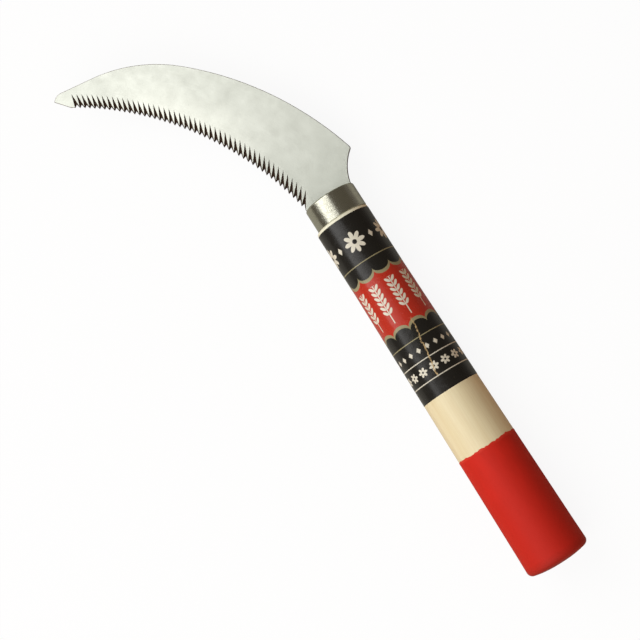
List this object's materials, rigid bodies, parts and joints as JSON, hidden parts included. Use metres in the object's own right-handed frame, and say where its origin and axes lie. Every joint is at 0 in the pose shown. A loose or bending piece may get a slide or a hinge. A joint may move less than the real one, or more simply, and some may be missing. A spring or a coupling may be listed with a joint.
{
  "type": "harvest knife",
  "caption": "Curved toothed harvesting blade on a turned wooden handle, with a metal ferrule, a wrapped label and a dipped butt.",
  "frame": {"origin": "middle of the flat at the butt, on the handle's axis", "axes": "+X along the handle's axis towards the blade, +Y towards the toothed edge and the point, +Z out of the face that the teeth are ground on"},
  "size_m": [0.2616, 0.0903, 0.0259],
  "materials": {
    "blade_steel": "satin stainless, fine lengthwise grain, ground teeth",
    "ferrule_plate": "plated and polished, slightly dulled",
    "handle_wood": "pale close-grained wood, clear lacquer",
    "pin_steel": "drawn wire, cut flush",
    "label_film": "glossy printed film in black, red and dull gold",
    "dip_paint": "satin red dipped paint"
  },
  "bodies": {
    "root": {"blade": "blade_steel", "ferrule": "ferrule_plate", "handle": "handle_wood", "tang_pins": "pin_steel", "label": "label_film", "dip_coat": "dip_paint"}
  },
  "joints": []
}
